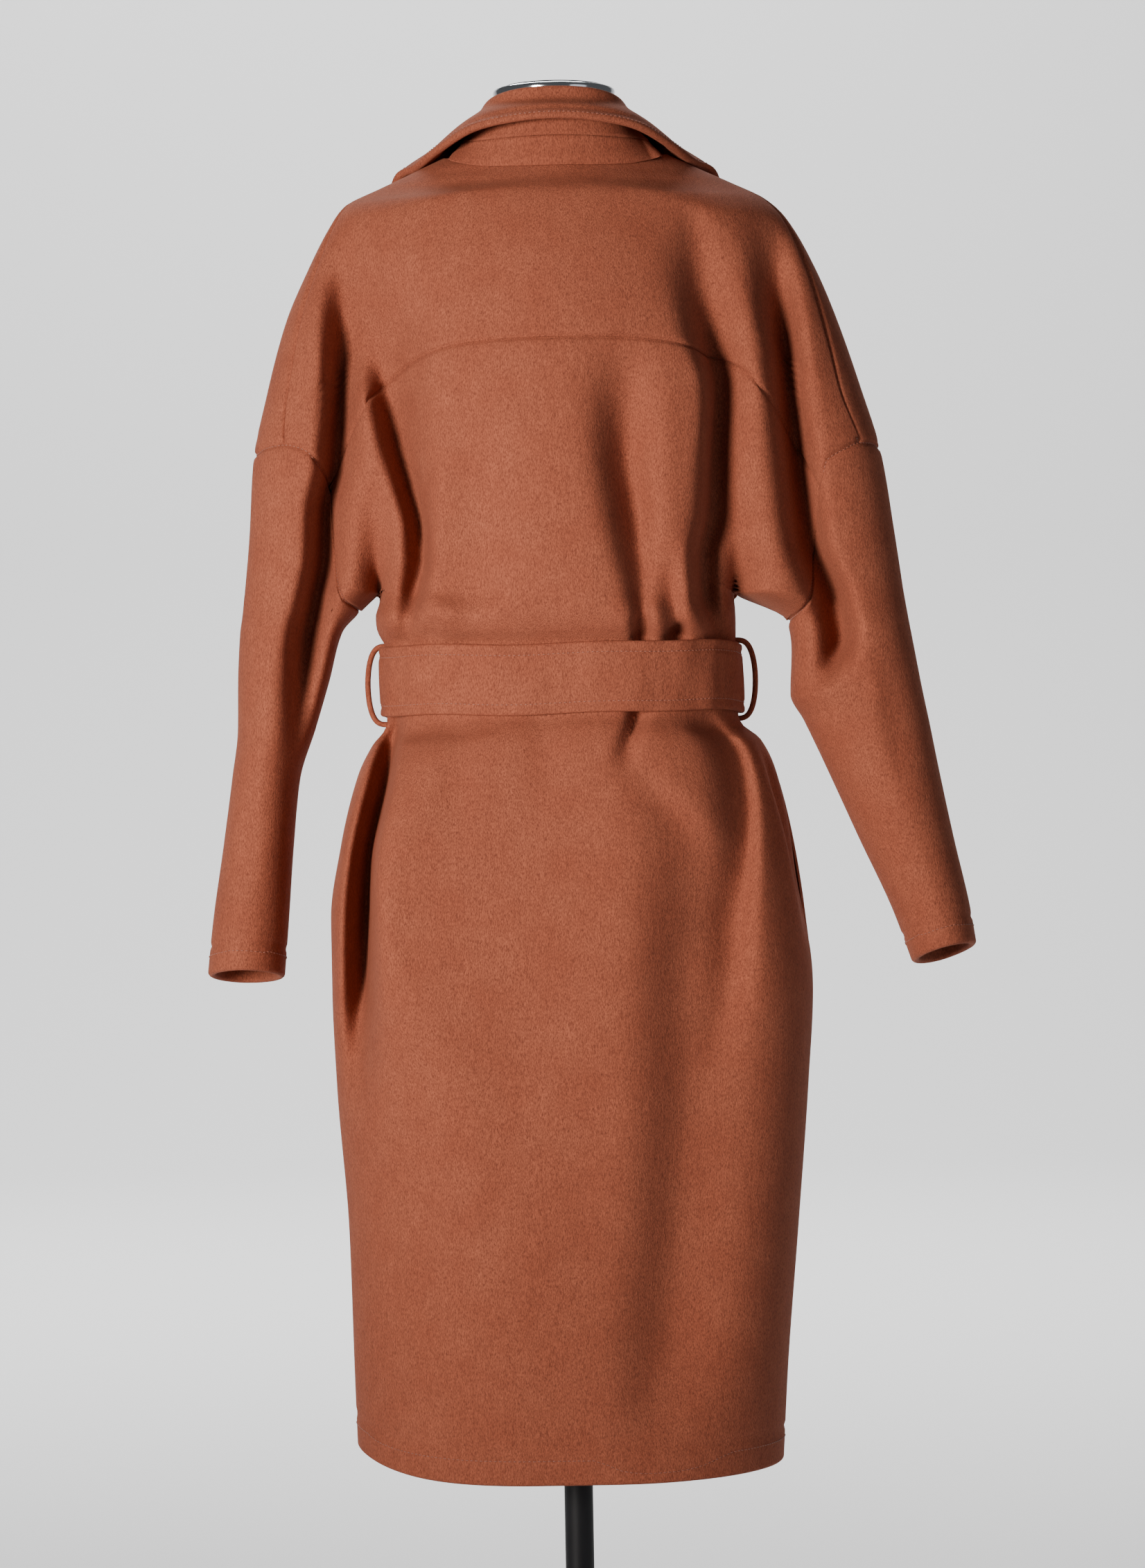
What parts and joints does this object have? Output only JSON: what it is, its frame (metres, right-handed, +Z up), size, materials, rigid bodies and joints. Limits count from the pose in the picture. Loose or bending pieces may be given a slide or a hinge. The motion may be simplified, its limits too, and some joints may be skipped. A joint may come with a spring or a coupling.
{
  "type": "long wool coat on a dress form stand",
  "caption": "Long belted wool coat with low batwing sleeves and a rolled collar, hung on a limbless dress form with a pole and round base.",
  "frame": {"origin": "middle of the base plate's underside, on the floor", "axes": "+Z up the pole; the coat's front faces -Y and its back +Y; the wearer's left is +X"},
  "size_m": [0.6452, 0.33, 1.4932],
  "materials": {
    "wool": "felted, short brushed nap, rust brown",
    "linen": "plain weave, cream",
    "chrome": "polished",
    "black_paint": "satin black"
  },
  "bodies": {
    "root": {"back_yoke": "wool", "back_panel": "wool", "front_left": "wool", "front_right": "wool", "sleeve_left": "wool", "sleeve_right": "wool", "collar_stand": "wool", "collar": "wool", "belt": "wool", "belt_knot": "wool", "belt_tail_left": "wool", "belt_tail_right": "wool", "belt_loop_left": "wool", "belt_loop_right": "wool", "form_torso": "linen", "neck_cap": "chrome", "pole": "black_paint", "base_plate": "black_paint"}
  },
  "joints": []
}
